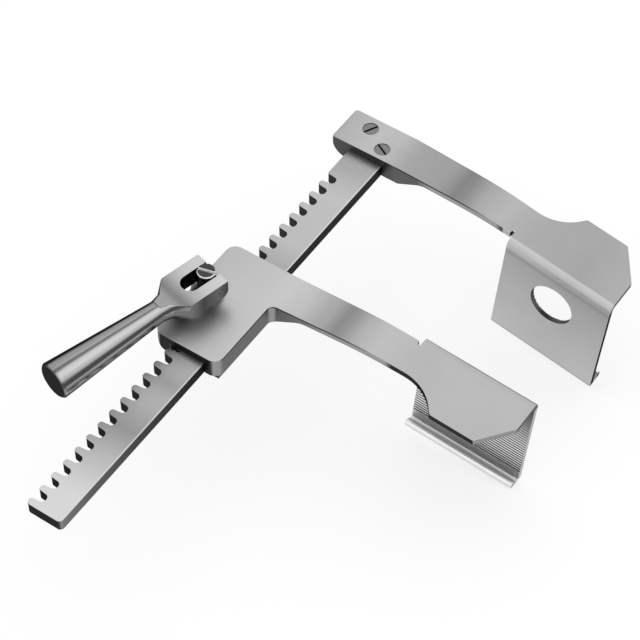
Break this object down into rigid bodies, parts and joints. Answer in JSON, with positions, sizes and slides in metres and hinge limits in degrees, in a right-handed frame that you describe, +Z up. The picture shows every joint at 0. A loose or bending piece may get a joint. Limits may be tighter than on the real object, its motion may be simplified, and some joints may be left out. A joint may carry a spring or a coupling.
{
  "type": "self retaining retractor",
  "caption": "Rib spreader with a toothed rack, a fixed arm and a sliding arm, each with a bent-down blade, driven by a folding crank that turns a two-pin pinion.",
  "frame": {"origin": "centre of the rack bar's free end face", "axes": "+Y along the rack towards the fixed arm, +X from the rack towards the blades, +Z up, away from the wound"},
  "size_m": [0.2105, 0.3163, 0.1083],
  "materials": {
    "satin_steel": "satin",
    "polished_steel": "polished",
    "screw_steel": "satin"
  },
  "bodies": {
    "frame": {"rack_bar": "satin_steel", "fixed_arm": "satin_steel", "arm_screws": "screw_steel"},
    "slider": {"slider_arm": "satin_steel", "slider_cover": "satin_steel", "cover_screws": "screw_steel", "shaft_bush": "screw_steel"},
    "crank": {"drive_shaft": "screw_steel", "drive_pins": "screw_steel", "drive_end_disc": "screw_steel"},
    "handle": {"crank_handle": "polished_steel", "hinge_pin": "screw_steel"}
  },
  "joints": [
    {"name": "slider_travel", "type": "slide", "parent": "frame", "child": "slider", "axis": [0, 1, 0], "range_m": [-0.119, 0.0715]},
    {"name": "crank_turn", "type": "hinge", "parent": "slider", "child": "crank", "pos_m": [-0.01275, 0.15505, 0], "axis": [0, 0, 1], "range_deg": [-1375, 2285]},
    {"name": "handle_fold", "type": "hinge", "parent": "crank", "child": "handle", "pos_m": [-0.01275, 0.15505, 0.0202], "axis": [-0.9703, 0.2419, 0], "range_deg": [0, 90]}
  ],
  "couplings": [
    {"joint": "crank_turn", "follows": "slider_travel", "rad_per_m": -334.21}
  ]
}
